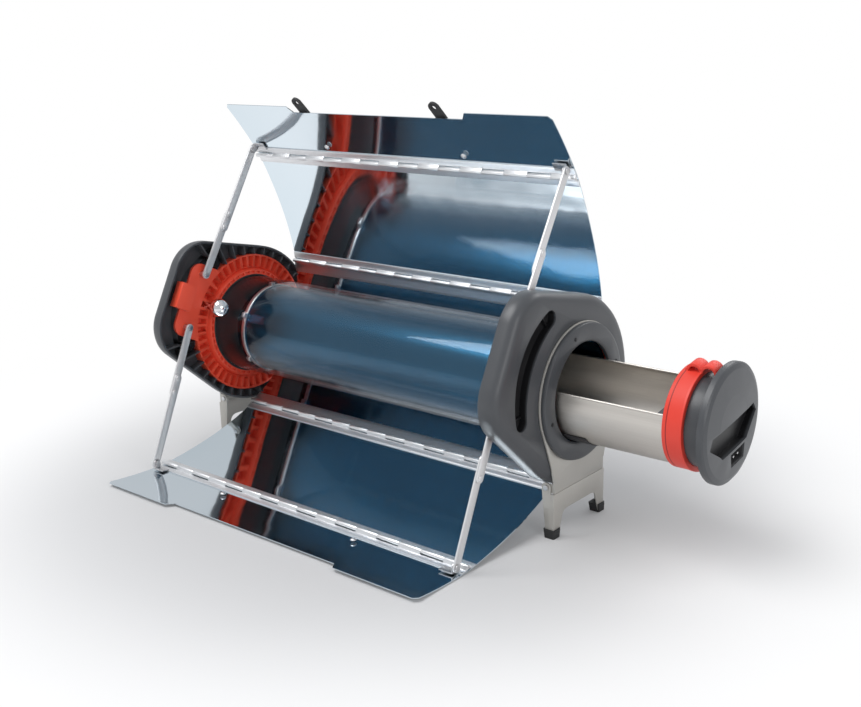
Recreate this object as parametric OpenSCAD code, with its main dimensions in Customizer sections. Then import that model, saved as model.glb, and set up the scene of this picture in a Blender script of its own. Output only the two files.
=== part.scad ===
// Solar tube cooker: an evacuated glass tube between two moulded end caps,
// with a folding parabolic reflector, a sliding cooking tray and two folding legs.
// The origin is on the floor midway between the feet. +X points to the tray's lid,
// -Y to the open side of the reflector and +Z up. Millimetres.
// The reflector's own frame has u along its axis (to the open side) and v across it.

/* [Stance] */
// Height of the tube's axis over the floor
axis_h = 152; // [148:1:175]
// Angle that the reflector's axis is raised, in degrees
aim_deg = 27; // [20:1:45]

/* [Reflector] */
// Focal length of the mirror's parabola
focal_len = 72; // [68:0.5:78]
// Length of the mirrors along the tube
reflector_l = 488; // [400:1:560]
// Thickness of the mirror sheets
sheet_t = 1; // [0.6:0.1:1.4]
// Half height of the fixed trough, at the root hinges
root_v = 100.5; // [98:0.5:104]
// Half height of the open wings, at the piano hinges
edge_v = 206.7; // [190:0.1:220]
// Width of a flap
flap_w = 80; // [60:1:90]
// Turn of a flap from the reflector's axis, in degrees
flap_deg = 25.15; // [22:0.05:30]
// How far a flap bows outwards
flap_bow = 1.5; // [0:0.1:3]
// Depth of the long notch in a flap's edge
notch_depth = 9; // [4:0.5:14]
// Half length of the notch's bottom
notch_half = 128; // [100:1:150]

/* [Hinges] */
// Radius of the hinge knuckles
knuckle_r = 2.4; // [2:0.1:2.8]
// Radius of the hinge rods
rod_r = 1.25; // [1:0.05:1.5]
// Radial play of the rods in the knuckles
rod_play = 0.05; // [0.02:0.01:0.1]
// Height of the rods over the mirror's inner face
hinge_lift = 3.4; // [3:0.1:4]
// Width of the hinge leaves
leaf_w = 8; // [6:0.5:12]
// Thickness of the hinge leaves
leaf_t = 1.2; // [0.8:0.1:1.4]
// Number of knuckles in a hinge
knuckle_count = 16; // [8:2:20]
// Width of the rails beside the fixed trough
rail_w = 14; // [10:0.5:16]

/* [Glass tube] */
// Outer radius of the outer glass
glass_r = 62.5; // [60:0.1:64]
// Wall of the outer glass
glass_t = 2.4; // [1.6:0.1:3]
// Outer radius of the absorber tube
absorber_r = 55; // [52:0.1:57]
// Wall of the absorber tube
absorber_t = 1.8; // [1.2:0.1:2.4]

/* [End caps] */
// Room between the mirrors' ends and a cap's rim
rim_room = 2; // [2:0.5:6]
// Depth of a cap from its rim to its face
cap_depth = 20; // [18:0.5:30]
// Radius of a cap round the tube
cap_r = 102; // [100:0.5:108]
// Radius of a cap's two front corners
corner_r = 45; // [35:0.5:50]
// Place of the front corners along the reflector's axis
corner_u = 99; // [90:0.5:105]
// Place of the front corners across the reflector's axis
corner_v = 32; // [28:0.5:36]
// Wall of the moulded caps
cap_wall = 2.6; // [2:0.1:3.5]
// Rounding between a cap's side and its face
cap_round = 11; // [6:0.5:12]
// Radius of the bearing hub on a cap's face
hub_r = 66; // [65.5:0.1:68]
// Number of the ribs round the inside of a cap
rib_count = 36; // [24:1:48]

/* [Liners] */
// Room for the cap's ribs between the liner and the cap's side
rib_room = 12; // [10:0.5:14]
// Number of the pockets between its radial fins
fin_count = 48; // [36:1:60]
// Width of its front lobe, from the middle
lobe_half = 47; // [44:0.5:50]
// Radius of the round handle ball on the left liner
ball_r = 10; // [7:0.5:12]

/* [Stays] */
// Place of a stay's fixed pivot along the reflector's axis
pivot_u = 102; // [96:0.5:106]
// Place of a stay's fixed pivot across the reflector's axis
pivot_v = 35; // [30:0.5:38]
// Length of the inner link between its pivots
inner_l = 82; // [76:0.5:86]
// Width of the links
link_w = 10; // [8:0.5:12]
// Thickness of the links
link_t = 2; // [1.5:0.1:2.2]
// Radius of the stays' pivot pins
stay_pin_r = 2.5; // [2:0.1:3]

/* [Stand] */
// Outer radius of a leg bracket's ring
ring_r = 75; // [72:0.5:80]
// Thickness of the bracket and leg plates
plate_t = 2; // [1.6:0.1:2.2]
// Half width of a leg
leg_half = 49.3; // [46:0.1:56]
// Width of a leg's side flanges
flange_w = 15; // [12:0.5:17]
// Radius of the leg hinge pins
leg_pin_r = 2; // [1.5:0.1:2.5]
// Height of the rubber boots
boot_h = 14; // [10:0.5:20]

/* [Tray] */
// Outer radius of the tray's trough
tray_r = 50; // [48:0.1:50.5]
// Wall of the trough
tray_t = 0.8; // [0.6:0.1:1.2]
// Height of the tray's rim over its centre
tray_rim_z = 19.5; // [15:0.5:24]
// Turn of the tray about the tube, in degrees
tray_roll = 9; // [0:1:12]
// Length of the trough
trough_l = 438; // [420:1:440]
// How far the trough stands out of the cap
tray_out = 127; // [120:1:135]
// Length of the coloured band
band_l = 18; // [14:0.5:24]
// Radius of the plug between the band and the lid
plug_r = 47.5; // [46:0.1:48]
// Radius of the lid
lid_r = 61; // [58:0.5:64]
// Thickness of the lid
lid_t = 12; // [10:0.5:16]

/* [Latches] */
// Distance of the latches from the middle
latch_x = 105; // [80:1:115]
// Length of a latch strap from its pin to its tip
latch_l = 70; // [66:1:74]
// Sideways lean of a latch strap, in degrees
latch_lean = 12; // [0:1:15]

/* [Hidden] */

// One overrun serves all cuts, one clearance all pieces that move past each other,
// and one seat all pieces that are fixed face to face on a curved sheet
cut = 1;
gap = 0.3;
seat = 0.05;
fine = 96;

// Rim, face and cavity of a cap, hub and bezel
cap_rim_x = reflector_l / 2 + rim_room;
cap_face_x = cap_rim_x + cap_depth;
cavity_x = cap_face_x - cap_wall;
hub_l = plate_t + 2 * gap;
hub_wall = 2.5;
bezel_x = cap_face_x + hub_l;
bezel_t = 5.4;
mouth_r = absorber_r - cut;
bezel_r = ring_r - cut;
glass_end_x = cap_face_x;
glass_dome_h = 6.5;
glass_x0 = -(cavity_x - cut - glass_dome_h);
absorber_dome = 35;
absorber_x0 = -(cap_rim_x - absorber_dome - 3 * rim_room);
bore_r = absorber_r - absorber_t;

// Heights of the steps on the liners
lobe_x = cap_rim_x + 4;
lobe_t = 2.5;
collar_x = cap_rim_x + cut;
flange_x = cap_rim_x + 10.5;
liner_back_x = cavity_x - gap;
fin_floor_x = flange_x + 4.5;
fin_r0 = 74;
liner_r = cap_r - rib_room;
fin_r1 = liner_r - 2;
collar_r = 70;
collar_foot_r = 73;
liner_bore_r = glass_r + 2;
collar_wall = 1.9;

// Planes of the stays, counted from the middle
inner_x = cap_rim_x - 5.5;
outer_x = inner_x - gap - link_t;
head_t = 1.2;

// Hinge pitch along the reflector
pitch = reflector_l / knuckle_count;
leaf_gap = knuckle_r + 0.6;
half_l = reflector_l / 2;

// Parabola: a point at height v, its slope, the unit normal to the back, and a parallel line
function para(v) = [v * v / (4 * focal_len) - focal_len, v];
function slope(v) = v / (2 * focal_len);
function back(v) = [-1, slope(v)] / norm([1, slope(v)]);
function off(v, d) = para(v) + d * back(v);
function along(v, s) = v + s / norm([1, slope(v)]);
function tangent_deg(v) = atan2(1, slope(v));
root_hinge = off(root_v, -hinge_lift);
edge_hinge = off(edge_v, -hinge_lift);

// Inner face of a flap at a distance s from its hinge, counted from the rod
function flap_h(s) = -hinge_lift - 4 * flap_bow * (s / flap_w) * (1 - s / flap_w);

// The stay when the wing is open: its outer pivot, and the outer link's length
bracket_s = 13.7;
bracket_h = 3;
chord_dir = [cos(flap_deg), sin(flap_deg)];
chord_in = [sin(flap_deg), -cos(flap_deg)];
stay_far = edge_hinge + bracket_s * chord_dir + bracket_h * chord_in;
stay_near = [pivot_u, pivot_v];
stay_dir = (stay_far - stay_near) / norm(stay_far - stay_near);
stay_deg = atan2(stay_dir.y, stay_dir.x);
outer_l = norm(stay_far - stay_near) - inner_l;
elbow = stay_near + inner_l * stay_dir;

// Leg hinge
leg_pin_x = cap_face_x - 7.5;
fold_z = cap_r;
leg_pin_z = fold_z - 6.5;
leg_foot_z = axis_h - 2;
flange_t = 1.5;
ear_r = 5.5;
bracket_half = leg_half - flange_t - gap;

// Tray set down on the tube's bore, pad and all
pad_t = 1.2;
tray_x1 = cap_face_x + tray_out;
tray_x0 = tray_x1 - trough_l;
tray_drop = bore_r - gap - tray_r - pad_t;
band_x1 = tray_x1 + band_l;
lip_l = 3;
band_r = tray_r + 2.5;
lid_x = band_x1 + lip_l + 18;
lid_flat = 58.6;
lid_dome = 2;
grip_depth = 8;
socket_y = 6;
socket_z = -36.5;
pin_r = 1.2;
pin_l = 7;
pin_pitch = 9.2;

// Latch parts on the outside of a flap
anchor_s = 20;
strap_t = 2.6;
strap_w = 14;
latch_pin_r = 1.6;
latch_eye_r = 3.4;
latch_h = flap_h(anchor_s) - sheet_t - gap - latch_eye_r;
keeper_s = flap_w - 18;

// Frames: the tube's axis, the tilting reflector, a sheet at height v, a flap, the tray
module at_axis() { translate([0, 0, axis_h]) children(); }
module tilted() { at_axis() rotate([-aim_deg, 0, 0]) children(); }
module lower() { mirror([0, 0, 1]) children(); }
module left() { mirror([1, 0, 0]) children(); }
module on_sheet(v) {
  translate([0, -para(v).x, v]) rotate([180 - tangent_deg(v), 0, 0]) children();
}
module on_flap() {
  translate([0, -edge_hinge.x, edge_hinge.y]) rotate([180 - flap_deg, 0, 0]) children();
}
module in_tray() {
  at_axis() rotate([tray_roll, 0, 0]) translate([0, 0, -tray_drop]) children();
}

// Extrudes a flat shape along X from x0 to x1. The (u, v) shapes are turned to face +u forward.
module bar(x0, x1) {
  translate([x0, 0, 0]) rotate([90, 0, 90]) linear_extrude(x1 - x0) children();
}
module uv_bar(x0, x1) { bar(x0, x1) mirror([1, 0, 0]) children(); }
// Turns a profile of [radius, x] points about the X axis
module spin() { rotate([0, 90, 0]) rotate_extrude($fn = fine) children(); }
module ring(x0, x1, r0, r1) {
  bar(x0, x1) difference() {
    circle(r1, $fn = fine);
    circle(r0, $fn = fine);
  }
}

// A strip of sheet between heights v0 and v1 and parallel offsets d0 and d1
module sheet_shape(v0, v1, d0, d1, n) {
  step = (v1 - v0) / n;
  polygon(concat(
    [for (i = [0 : n]) off(v0 + i * step, d0)],
    [for (i = [n : -1 : 0]) off(v0 + i * step, d1)]
  ));
}

// One knuckle with the tab that ties it to its leaf, on side -1 or 1 of the rod
module knuckle_shape(side, base) {
  difference() {
    union() {
      circle(knuckle_r, $fn = fine);
      polygon([
        [side * (leaf_gap + leaf_t / 2), base], [side * (leaf_gap + leaf_t / 2), base + leaf_t],
        [side * knuckle_r, 0], [0, 0], [0, -knuckle_r]
      ]);
    }
    circle(rod_r + rod_play, $fn = fine);
  }
}
module knuckles(side, base, first) {
  for (i = [first : 2 : knuckle_count - 1])
    bar(-half_l + i * pitch + gap / 2, -half_l + (i + 1) * pitch - gap / 2)
      knuckle_shape(side, base);
}

// Rails, leaves and rods of the upper wing. The lower ones are their mirror images.
leaf_base = -hinge_lift + seat;
module rail() {
  v1 = along(root_v, -leaf_gap);
  v0 = along(root_v, -leaf_gap - rail_w);
  v_web = along(root_v, -leaf_gap - leaf_t);
  box_v = along(root_v, -leaf_gap - rail_w * 0.6);
  lip = seat + leaf_t;
  box_d = 7;
  color("gainsboro") {
    uv_bar(-cap_rim_x + gap, cap_rim_x - gap) difference() {
      union() {
        sheet_shape(v0, v1, -lip, sheet_t + lip, 4);
        sheet_shape(box_v, v1, sheet_t, sheet_t + box_d, 2);
      }
      sheet_shape(v0 - cut, v_web, -seat, sheet_t + seat, 4);
      sheet_shape(along(box_v, leaf_t), along(v1, -leaf_t), sheet_t + lip + leaf_t,
        sheet_t + box_d - leaf_t, 2);
    }
    on_sheet(root_v) translate([0, 0, hinge_lift]) knuckles(-1, leaf_base, 0);
  }
}
module root_leaf() {
  color("gainsboro") {
    uv_bar(-half_l, half_l)
      sheet_shape(along(root_v, leaf_gap), along(root_v, leaf_gap + leaf_w),
        -seat, -seat - leaf_t, 3);
    on_sheet(root_v) translate([0, 0, hinge_lift]) knuckles(1, leaf_base, 1);
  }
}
module root_rod() {
  color("silver") translate([-half_l, -root_hinge.x, root_hinge.y]) rotate([0, 90, 0])
    cylinder(r = rod_r, h = reflector_l, $fn = fine);
}
module panel() {
  color("lightsteelblue") uv_bar(-half_l, half_l)
    sheet_shape(along(root_v, gap), along(edge_v, -gap), 0, sheet_t, 24);
}
module edge_leaf() {
  color("gainsboro") {
    uv_bar(-half_l, half_l)
      sheet_shape(along(edge_v, -leaf_gap - leaf_w), along(edge_v, -leaf_gap),
        -seat, -seat - leaf_t, 3);
    on_sheet(edge_v) translate([0, 0, hinge_lift]) knuckles(-1, leaf_base, 0);
  }
}
module edge_rod() {
  color("silver") on_flap() translate([-half_l, 0, 0]) rotate([0, 90, 0])
    cylinder(r = rod_r, h = reflector_l, $fn = fine);
}

// A flap: a bowed sheet with a long shallow notch in its edge and cut corners
module flap() {
  n = 12;
  corner = 5;
  slope_l = notch_depth * 0.8;
  step = flap_w / n;
  color("lightsteelblue") on_flap() intersection() {
    bar(-half_l, half_l) polygon(concat(
      [[gap, flap_h(gap)]],
      [for (i = [1 : n]) [i * step, flap_h(i * step)]],
      [for (i = [n : -1 : 1]) [i * step, flap_h(i * step) - sheet_t]],
      [[gap, flap_h(gap) - sheet_t]]
    ));
    translate([0, 0, -knuckle_r * 4]) linear_extrude(knuckle_r * 4) polygon([
      [-half_l - cut, -cut], [half_l + cut, -cut], [half_l + cut, flap_w - corner - cut],
      [half_l - corner, flap_w + cut], [notch_half + slope_l, flap_w + cut],
      [notch_half, flap_w - notch_depth], [-notch_half, flap_w - notch_depth],
      [-notch_half - slope_l, flap_w + cut], [-half_l + corner, flap_w + cut],
      [-half_l - cut, flap_w - corner - cut]
    ]);
  }
}
module flap_leaf() {
  n = 3;
  step = leaf_w / n;
  color("gainsboro") on_flap() {
    bar(-half_l, half_l) polygon(concat(
      [for (i = [0 : n]) [leaf_gap + i * step, flap_h(leaf_gap + i * step) + seat]],
      [for (i = [n : -1 : 0]) [leaf_gap + i * step, flap_h(leaf_gap + i * step) + seat + leaf_t]]
    ));
    knuckles(1, flap_h(leaf_gap) + seat, 1);
  }
}

// Small angle brackets on the flap's ends that carry the outer links' pins
module stay_brackets() {
  foot_l = 16;
  ear_half = 5;
  ear_x = outer_x - gap - leaf_t;
  base_s0 = bracket_s - ear_half;
  base_h = max(flap_h(base_s0), flap_h(leaf_gap + leaf_w)) + seat + leaf_t + seat;
  color("silver") on_flap() for (side = [0, 1]) mirror([side, 0, 0]) {
    difference() {
      union() {
        bar(ear_x, ear_x + leaf_t) union() {
          translate([bracket_s, bracket_h]) circle(ear_half, $fn = fine);
          polygon([
            [bracket_s - ear_half, bracket_h], [bracket_s - ear_half, base_h],
            [bracket_s + ear_half, base_h], [bracket_s + ear_half, bracket_h]
          ]);
        }
        bar(ear_x - foot_l, ear_x + leaf_t) polygon([
          [bracket_s - ear_half, base_h], [bracket_s + ear_half, base_h],
          [bracket_s + ear_half, base_h + leaf_t], [bracket_s - ear_half, base_h + leaf_t]
        ]);
      }
    }
    translate([ear_x + leaf_t - cut, bracket_s, bracket_h]) rotate([0, 90, 0])
      cylinder(r = stay_pin_r, h = cut + gap + link_t + gap + head_t, $fn = fine);
    translate([outer_x + link_t + gap, bracket_s, bracket_h]) rotate([0, 90, 0])
      cylinder(r = stay_pin_r + cut, h = head_t, $fn = fine);
  }
}

// A flat link from the origin along +Y, with a bored eye, a riveted far end and a short tail
module link_shape(length, tail) {
  difference() {
    union() {
      circle(link_w / 2, $fn = fine);
      translate([0, length + tail]) circle(link_w / 2, $fn = fine);
      translate([-link_w / 2, 0]) square([link_w, length + tail]);
    }
    circle(stay_pin_r + rod_play, $fn = fine);
  }
}
module stay_inner() {
  rivet_r = 3.2;
  color("gainsboro") for (side = [0, 1]) mirror([side, 0, 0])
    translate([0, -stay_near.x, stay_near.y]) rotate([90 - stay_deg, 0, 0]) {
      bar(inner_x, inner_x + link_t) link_shape(inner_l, 0);
      translate([inner_x + link_t - seat, 0, inner_l]) rotate([0, 90, 0])
        cylinder(r = rivet_r, h = head_t, $fn = fine);
    }
}
module stay_outer() {
  rivet_r = 3.2;
  tail = 18;
  color("gainsboro") for (side = [0, 1]) mirror([side, 0, 0])
    translate([0, -stay_far.x, stay_far.y]) rotate([270 - stay_deg, 0, 0]) {
      bar(outer_x, outer_x + link_t) link_shape(outer_l, tail);
      for (s = [outer_l, outer_l + tail]) translate([outer_x - head_t + seat, 0, s])
        rotate([0, 90, 0]) cylinder(r = rivet_r, h = head_t, $fn = fine);
    }
}

// An end cap's outline, drawn in by d
cap_fine = 72;
module cap_outline(d) {
  hull() {
    circle(cap_r - d, $fn = cap_fine);
    for (s = [-1, 1]) translate([corner_u, s * corner_v]) circle(corner_r - d, $fn = cap_fine);
  }
}
// A domed block with that outline, from x0 to a face at x1 with its edge rounded by r
module cap_block(x0, x1, d, r) {
  slice_t = 0.4;
  turn = 22.5;
  uv_bar(x0, x1 - r) cap_outline(d);
  for (a = [0 : turn : 90 - turn]) hull() for (b = [a, a + turn])
    uv_bar(x1 - r * (1 - sin(b)) - slice_t, x1 - r * (1 - sin(b))) cap_outline(d + r * (1 - cos(b)));
}
// The room under such a dome, in steps
module cap_room(x0, x1, d, r) {
  for (a = [0 : 15 : 90]) uv_bar(x0, x1 - r * (1 - sin(a))) cap_outline(d + r * (1 - cos(a)));
}

// The crescent handle pocket on a cap's face, grown by g
pocket_r0 = 94;
pocket_r1 = 111;
pocket_deg = 32;
pocket_floor = cavity_x - 7;
pocket_back = pocket_floor - cap_wall;
function arc(c, r, a0, a1, n) =
  [for (i = [1 : n]) c + r * [cos(a0 + (a1 - a0) * i / n), sin(a0 + (a1 - a0) * i / n)]];
module crescent(g) {
  mid = (pocket_r0 + pocket_r1) / 2;
  half = (pocket_r1 - pocket_r0) / 2 + g;
  a = pocket_deg;
  polygon(concat(
    arc([0, 0], mid + half, -a, a, 32), arc(mid * [cos(a), sin(a)], half, a, a + 180, 16),
    arc([0, 0], mid - half, a, -a, 32), arc(mid * [cos(a), -sin(a)], half, 180 - a, 360 - a, 16)
  ));
}

// A rib inside a cap, thinner towards its free edge at x0
module cap_rib(x0) {
  rib_r0 = liner_r + gap;
  foot_t = 1.8;
  edge_t = 1.3;
  hull() {
    translate([x0, -cap_r, -edge_t / 2]) cube([cut, cap_r - rib_r0, edge_t]);
    translate([cap_face_x - cut, -cap_r, -foot_t / 2]) cube([cut, cap_r - rib_r0, foot_t]);
  }
}

// End cap: a domed shell with ribs inside, a handle pocket outside and a hole for the bezel's hub
module end_cap() {
  rib_x0 = cap_rim_x + 7;
  color([0.2, 0.21, 0.22]) difference() {
    union() {
      difference() {
        cap_block(cap_rim_x, cap_face_x, 0, cap_round);
        cap_room(cap_rim_x - cut, cavity_x, cap_wall, cap_round - cap_wall);
      }
      intersection() {
        for (i = [0 : rib_count - 1]) rotate([i * 360 / rib_count, 0, 0])
          if (cos(i * 360 / rib_count) < cos(50)) cap_rib(rib_x0);
        cap_room(cap_rim_x, cavity_x + cut, cap_wall - cut, cap_round - cap_wall + cut);
      }
      uv_bar(pocket_back, cavity_x + cut) crescent(cap_wall);
    }
    uv_bar(pocket_floor, cap_face_x + cut) crescent(0);
    bar(cavity_x - cut, cap_face_x + cut) circle(hub_r + 2 * seat, $fn = fine);
  }
}

// Finned liner: a stepped ring round the glass with radial pockets, and a flat front lobe
module lobe_shape(d) {
  r = 14;
  front_u = 118;
  c = [front_u - r, lobe_half - r];
  for (s = [-1, 1]) translate([c.x, s * c.y]) circle(r - d, $fn = fine);
  polygon([
    [fin_r1 - r, lobe_half - d], [c.x, lobe_half - d], [c.x, c.y], [front_u - d, c.y],
    [front_u - d, -c.y], [c.x, -c.y], [c.x, -lobe_half + d], [fin_r1 - r, -lobe_half + d]
  ]);
}
module fin_pocket(i, r0, r1, n, share) {
  a = 180 / n * share;
  mid = i * 360 / n;
  polygon([
    r0 * [cos(mid - a), sin(mid - a)], r1 * [cos(mid - a), sin(mid - a)],
    r1 * [cos(mid + a), sin(mid + a)], r0 * [cos(mid + a), sin(mid + a)]
  ]);
}
module fin_liner() {
  pad_w = 32;
  pad_u0 = 110;
  pad_u1 = 132;
  pad_x = cap_rim_x - 6;
  fin_share = 0.66;
  slot_r0 = glass_r + 2 * 1.6;
  slot_r1 = collar_r - 1.2;
  slot_depth = 3;
  color([0.85, 0.22, 0.16]) {
    difference() {
      union() {
        spin() polygon([
          [liner_bore_r, collar_x], [collar_r, collar_x], [collar_foot_r, fin_floor_x],
          [collar_foot_r, liner_back_x], [liner_bore_r, liner_back_x]
        ]);
        ring(flange_x, fin_floor_x, collar_foot_r - cut, liner_r);
        ring(fin_floor_x, liner_back_x, collar_foot_r - cut, liner_r);
      }
      bar(flange_x - cut, fin_floor_x) for (i = [0 : fin_count - 1])
        fin_pocket(i, fin_r0, fin_r1, fin_count, fin_share);
      bar(collar_x - cut, collar_x + slot_depth) for (i = [0 : fin_count - 1])
        fin_pocket(i, slot_r0, slot_r1, fin_count, fin_share);
    }
    uv_bar(lobe_x, lobe_x + lobe_t) difference() {
      lobe_shape(0);
      circle(liner_r - cut, $fn = fine);
    }
    uv_bar(lobe_x, pocket_back - gap) difference() {
      lobe_shape(0);
      lobe_shape(lobe_t);
      circle(liner_r - cut, $fn = fine);
    }
    uv_bar(lobe_x, flange_x + cut) intersection() {
      difference() {
        circle(liner_r - seat, $fn = fine);
        circle(fin_r1 + 2 * seat, $fn = fine);
      }
      translate([0, -lobe_half + seat]) square([liner_r, 2 * (lobe_half - seat)]);
    }
    uv_bar(pad_x, lobe_x + lobe_t) translate([pad_u0, -pad_w / 2])
      square([pad_u1 - pad_u0, pad_w]);
  }
}

// Bezel ring with a rolled edge and a funnel round the mouth, and the hub that its leg turns on
module bezel(mouth) {
  edge = 1.6;
  color([0.22, 0.23, 0.24]) spin() polygon([
    [mouth, bezel_x], [hub_r - hub_wall, bezel_x], [hub_r - hub_wall, cavity_x],
    [hub_r, cavity_x], [hub_r, bezel_x], [bezel_r, bezel_x], [bezel_r, bezel_x + bezel_t - 2 * edge],
    [bezel_r - edge / 2, bezel_x + bezel_t - edge / 2], [bezel_r - 2 * edge, bezel_x + bezel_t],
    [mouth + min(mouth, 2 * edge), bezel_x + bezel_t], [mouth, bezel_x + bezel_t - edge]
  ]);
}
screw_r = 64;
module bezel_screws() {
  color("silver") for (a = [45 : 90 : 315]) rotate([a, 0, 0])
    translate([bezel_x + bezel_t, screw_r, 0]) rotate([0, 90, 0])
      cylinder(r = 2.2, h = head_t / 2, $fn = fine);
}

// The outer glass with its domed end and its fused mouth, and the absorber inside it
function dome(r, h, x, n, r_in) = [for (i = [0 : n]) [r * sin(90 * i / n), x - h * cos(90 * i / n)]];
module outer_glass() {
  inner_r = glass_r - glass_t;
  color([0.8, 0.88, 0.92, 0.35]) spin() polygon(concat(
    dome(glass_r, glass_dome_h, glass_x0, 8),
    [[glass_r, glass_end_x - glass_t / 2], [glass_r - glass_t / 2, glass_end_x],
      [absorber_r + seat, glass_end_x], [absorber_r + seat, glass_end_x - glass_t],
      [inner_r, glass_end_x - glass_t]],
    [for (i = [8 : -1 : 0]) dome(inner_r, glass_dome_h - glass_t, glass_x0, 8)[i]]
  ));
}
module absorber_tube() {
  color([0.1, 0.13, 0.2]) spin() polygon(concat(
    dome(absorber_r, absorber_dome, absorber_x0, 10),
    [[absorber_r, glass_end_x], [bore_r, glass_end_x]],
    [for (i = [10 : -1 : 0]) dome(bore_r, absorber_dome - absorber_t, absorber_x0, 10)[i]]
  ));
}
module tube_collar() {
  color([0.08, 0.08, 0.08]) ring(cap_rim_x + gap, flange_x, glass_r + seat, glass_r + collar_wall);
}
module tube_clip() {
  fingers = 6;
  clip_w = 6;
  clip_t = 1.2;
  inner = absorber_r + seat;
  color("silver") bar(absorber_x0, absorber_x0 + clip_w) difference() {
    union() {
      circle(inner + clip_t, $fn = fine);
      for (i = [0 : fingers - 1]) rotate(i * 360 / fingers)
        translate([0, -clip_w / 2]) square([glass_r - glass_t - gap, clip_w]);
    }
    circle(inner, $fn = fine);
  }
}

module rear_reflector() {
  v = along(root_v, -leaf_gap - leaf_t - gap);
  color("lightsteelblue") uv_bar(-cap_rim_x + gap, cap_rim_x - gap)
    sheet_shape(-v, v, 0, sheet_t, 40);
}

// Headed studs on the liner's lobe that carry the inner links
module stay_pivots() {
  color("silver") for (s = [-1, 1]) translate([0, -pivot_u, s * pivot_v]) rotate([0, 90, 0]) {
    translate([0, 0, inner_x - gap - head_t]) cylinder(r = stay_pin_r + cut, h = head_t, $fn = fine);
    translate([0, 0, inner_x - gap]) cylinder(r = stay_pin_r, h = lobe_x - inner_x + gap, $fn = fine);
    translate([0, 0, inner_x + link_t + gap])
      cylinder(r = stay_pin_r + cut, h = lobe_x - inner_x - link_t - gap, $fn = fine);
  }
}
// The round ball on its stalk on the left liner, for turning the reflector
ball_u = 79;
ball_x = cap_rim_x - 20;
module ball_stud() {
  stalk_r = 3;
  color("silver") translate([-flange_x, -ball_u, 0]) rotate([0, 90, 0]) {
    cylinder(r = stalk_r, h = flange_x - ball_x, $fn = fine);
    translate([0, 0, flange_x - ball_x]) sphere(ball_r, $fn = fine);
  }
}

// Leg bracket: a ring that turns on the hub, a waisted skirt and two side flanges
bracket_x = cap_face_x + gap;
module leg_bracket() {
  waist = [[68.7, 30], [60, 52], [52.5, 72], [48.6, 88]];
  skirt_z = fold_z - gap;
  flange_z = fold_z - 16;
  color([0.7, 0.69, 0.66]) at_axis() {
    bar(bracket_x, bracket_x + plate_t) difference() {
      union() {
        circle(ring_r, $fn = fine);
        polygon(concat(
          [for (p = waist) [p.x, -p.y]], [[bracket_half, -flange_z], [bracket_half, -skirt_z]],
          [[-bracket_half, -skirt_z], [-bracket_half, -flange_z]],
          [for (i = [3 : -1 : 0]) [-waist[i].x, -waist[i].y]]
        ));
      }
      circle(hub_r + rod_play, $fn = fine);
    }
    difference() {
      for (s = [0, 1]) mirror([0, s, 0]) translate([0, bracket_half, 0]) rotate([90, 0, 0])
        linear_extrude(flange_t) difference() {
          union() {
            translate([leg_pin_x, -leg_pin_z]) circle(ear_r, $fn = fine);
            translate([leg_pin_x, -leg_pin_z - ear_r])
              square([bracket_x + plate_t - leg_pin_x, 2 * ear_r]);
          }
          translate([leg_pin_x, -leg_pin_z]) circle(leg_pin_r + rod_play, $fn = fine);
        }
      bar(leg_pin_x - 2 * ear_r, bracket_x) circle(cap_r + gap, $fn = fine);
    }
  }
}
module leg_hinge_pins() {
  head = 1.2;
  color("silver") at_axis() for (s = [0, 1]) mirror([0, s, 0])
    translate([leg_pin_x, leg_half + gap + head, -leg_pin_z]) rotate([90, 0, 0]) {
      cylinder(r = leg_pin_r + cut + seat, h = head, $fn = fine);
      cylinder(r = leg_pin_r, h = 2 * head + 3 * gap + 2 * flange_t, $fn = fine);
      translate([0, 0, head + 3 * gap + 2 * flange_t])
        cylinder(r = leg_pin_r + cut + seat, h = head, $fn = fine);
    }
}

// Leg: an arched plate with two side flanges turned inwards and an ear at each hinge pin
module leg_frame() {
  arch_z = 124;
  arch_r = 7;
  arch_top = 30;
  arch_foot = 36;
  c = [arch_top - arch_r, arch_z + arch_r];
  color([0.7, 0.69, 0.66]) at_axis() {
    bar(bracket_x, bracket_x + plate_t) difference() {
      translate([-leg_half, -leg_foot_z]) square([2 * leg_half, leg_foot_z - fold_z]);
      for (s = [-1, 1]) translate([s * c.x, -c.y]) circle(arch_r, $fn = fine);
      polygon([
        [-c.x, -arch_z], [c.x, -arch_z], [arch_top, -c.y], [arch_foot, -leg_foot_z - cut],
        [-arch_foot, -leg_foot_z - cut], [-arch_top, -c.y]
      ]);
    }
    for (s = [0, 1]) mirror([0, s, 0]) translate([0, leg_half, 0]) rotate([90, 0, 0])
      linear_extrude(flange_t) difference() {
        union() {
          translate([leg_pin_x, -leg_pin_z]) circle(ear_r, $fn = fine);
          polygon([
            [leg_pin_x - ear_r, -leg_pin_z], [leg_pin_x + ear_r, -leg_pin_z],
            [leg_pin_x + ear_r, -fold_z], [bracket_x + plate_t, -fold_z - gap],
            [bracket_x + plate_t, -leg_foot_z], [bracket_x + plate_t - flange_w, -leg_foot_z],
            [bracket_x + plate_t - flange_w, -fold_z - ear_r]
          ]);
        }
        translate([leg_pin_x, -leg_pin_z]) circle(leg_pin_r + rod_play, $fn = fine);
      }
  }
}
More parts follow.
